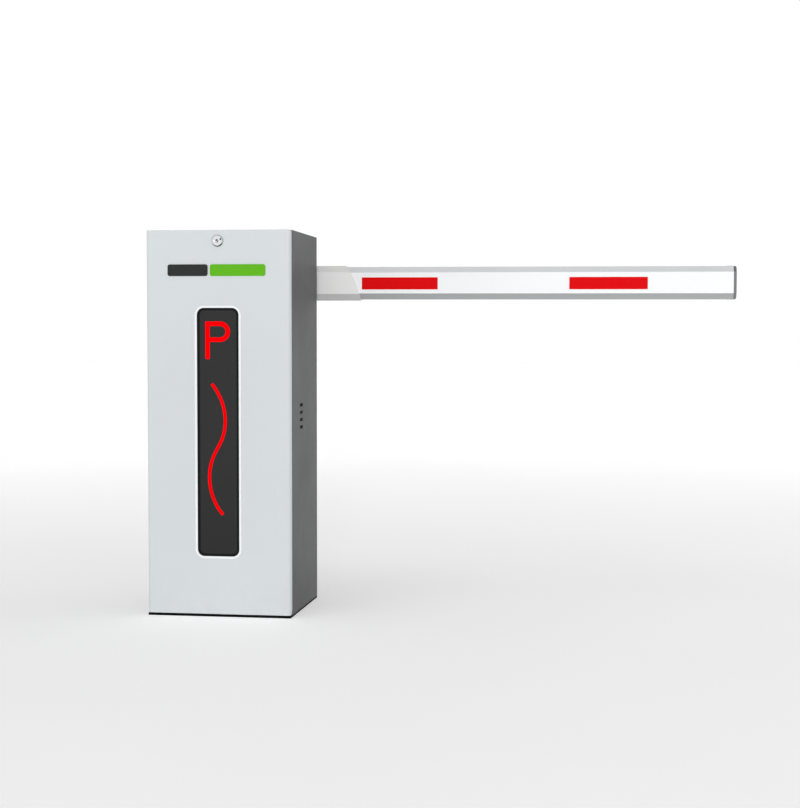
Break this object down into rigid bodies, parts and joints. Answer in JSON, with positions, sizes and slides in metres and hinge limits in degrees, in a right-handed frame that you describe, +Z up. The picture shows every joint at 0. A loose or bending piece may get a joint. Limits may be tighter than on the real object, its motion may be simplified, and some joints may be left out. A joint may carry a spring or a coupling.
{
  "type": "parking barrier gate",
  "caption": "Parking barrier gate: tall sheet-steel cabinet with a lit front window, fold-down locked door and a spring-balanced octagonal boom that swings up behind it.",
  "frame": {"origin": "centre of the cabinet's base on the ground", "axes": "+Z up, +X along the lowered boom, +Y away from the front door"},
  "size_m": [1.526, 0.4227, 1],
  "materials": {
    "door_paint": "light grey powder coat, fine texture",
    "housing_paint": "dark grey powder coat, satin",
    "base_paint": "black paint, matte",
    "zinc_steel": "galvanised sheet steel",
    "bearing_iron": "painted cast iron, satin",
    "ground_steel": "ground bearing steel",
    "lever_steel": "dark phosphated steel",
    "rod_steel": "zinc plated steel",
    "fastener_zinc": "bright zinc plating",
    "spring_wire": "oiled spring steel",
    "cast_aluminium": "sand-cast aluminium, bead blasted",
    "motor_paint": "black anodised, satin",
    "wheel_bronze": "machined bronze",
    "rubber": "black rubber, matte",
    "black_plastic": "black moulded plastic",
    "cap_plastic": "grey moulded plastic",
    "boom_paint": "white powder coat, satin",
    "sleeve_paint": "light warm grey paint, satin",
    "red_reflector": "red retroreflective sheeting",
    "smoked_acrylic": "smoked acrylic sheet",
    "bezel_white": "white moulded trim",
    "led_red": "red light guide, lit",
    "circuit_board": "green solder mask",
    "badge": "dark grey bar and green bar, satin",
    "chrome": "chrome plate",
    "unit_plastic": "light grey moulded plastic",
    "supply_metal": "folded aluminium sheet",
    "breaker_plastic": "white moulded plastic",
    "toggle_plastic": "blue-black moulded plastic",
    "cable_sheath": "black cable sheath",
    "button_green": "green push button",
    "button_red": "red push button",
    "button_blue": "blue push button"
  },
  "bodies": {
    "cabinet": {"base_plate": "base_paint", "housing_shell": "housing_paint", "top_cover": "housing_paint", "door_hinge_brackets": "base_paint", "door_seal": "rubber", "front_cross_rail": "zinc_steel", "rear_cross_rail": "zinc_steel", "front_bearing_block": "bearing_iron", "rear_bearing_block": "bearing_iron", "bearing_inserts": "ground_steel", "mounting_shelf": "zinc_steel", "gearbox_casing": "cast_aluminium", "gearbox_cover": "cast_aluminium", "motor_casing": "motor_paint", "stop_brackets": "zinc_steel", "rubber_buffers": "rubber", "spring_eye_bolts": "fastener_zinc", "counterbalance_springs": "spring_wire", "sensor_bracket": "zinc_steel", "position_sensors": "black_plastic", "electrical_panel": "zinc_steel", "control_unit_case": "unit_plastic", "power_supply": "supply_metal", "din_rail": "zinc_steel", "circuit_breaker": "breaker_plastic", "terminal_blocks": "unit_plastic", "motor_cable": "cable_sheath", "housing_screws": "fastener_zinc"},
    "boom": {"main_shaft": "ground_steel", "bearing_inner_rings": "ground_steel", "rocker_arm": "lever_steel", "spring_lever": "lever_steel", "stop_arm": "lever_steel", "sensor_disc": "rod_steel", "boom_hub": "sleeve_paint", "boom_sleeve": "sleeve_paint", "boom_bolts": "fastener_zinc", "boom_tube": "boom_paint", "boom_end_cap": "cap_plastic", "red_marker_strips": "red_reflector"},
    "crank": {"output_shaft": "ground_steel", "worm_wheel": "wheel_bronze", "crank_arm": "lever_steel"},
    "drive_rod": {"connecting_rod": "rod_steel"},
    "spring_yoke": {"spring_hanger": "lever_steel"},
    "rotor": {"worm_shaft": "ground_steel", "handwheel": "black_plastic"},
    "door": {"front_door": "door_paint", "window_bezel": "bezel_white", "window_pane": "smoked_acrylic", "led_signs": "led_red", "light_box": "black_plastic", "led_board": "circuit_board", "name_plate": "badge", "lock_barrel": "chrome"},
    "lock": {"lock_plug": "chrome"},
    "toggle": {"breaker_toggle": "toggle_plastic"},
    "open_button": {"button_open": "button_green"},
    "stop_button": {"button_stop": "button_red"},
    "close_button": {"button_close": "button_blue"}
  },
  "joints": [
    {"name": "boom_raise", "type": "hinge", "parent": "cabinet", "child": "boom", "pos_m": [0, 0.05, 0.876], "axis": [0, -1, 0], "range_deg": [0, 90], "deforming": ["counterbalance_springs"]},
    {"name": "crank_turn", "type": "hinge", "parent": "cabinet", "child": "crank", "pos_m": [0, -0.05, 0.516], "axis": [0, -1, 0], "range_deg": [0, 90]},
    {"name": "rod_pivot", "type": "hinge", "parent": "crank", "child": "drive_rod", "pos_m": [0.0495, -0.015, 0.4665], "axis": [0, -1, 0], "range_deg": [-90, 0]},
    {"name": "hanger_pivot", "type": "hinge", "parent": "boom", "child": "spring_yoke", "pos_m": [-0.04243, 0.037, 0.91843], "axis": [0, -1, 0], "range_deg": [-90, 0]},
    {"name": "motor_turn", "type": "hinge", "parent": "cabinet", "child": "rotor", "pos_m": [0, -0.08, 0.465], "axis": [-1, 0, 0], "range_deg": [0, 3600]},
    {"name": "door_tilt", "type": "hinge", "parent": "cabinet", "child": "door", "pos_m": [0, -0.154, 0.02], "axis": [1, 0, 0], "range_deg": [0, 90]},
    {"name": "lock_turn", "type": "hinge", "parent": "door", "child": "lock", "pos_m": [0, -0.15, 0.971], "axis": [0, -1, 0], "range_deg": [0, 90]},
    {"name": "breaker_flip", "type": "hinge", "parent": "cabinet", "child": "toggle", "pos_m": [-0.11, 0.067, 0.1475], "axis": [1, 0, 0], "range_deg": [0, 60]},
    {"name": "open_button_press", "type": "slide", "parent": "cabinet", "child": "open_button", "axis": [0, 1, 0], "range_m": [0, 0.0025], "stiffness_N_per_m": 400},
    {"name": "stop_button_press", "type": "slide", "parent": "cabinet", "child": "stop_button", "axis": [0, 1, 0], "range_m": [0, 0.0025], "stiffness_N_per_m": 400},
    {"name": "close_button_press", "type": "slide", "parent": "cabinet", "child": "close_button", "axis": [0, 1, 0], "range_m": [0, 0.0025], "stiffness_N_per_m": 400}
  ],
  "couplings": [
    {"joint": "crank_turn", "follows": "boom_raise", "ratio": 1},
    {"joint": "rod_pivot", "follows": "boom_raise", "ratio": -1},
    {"joint": "hanger_pivot", "follows": "boom_raise", "ratio": -1},
    {"joint": "motor_turn", "follows": "boom_raise", "ratio": 40}
  ]
}
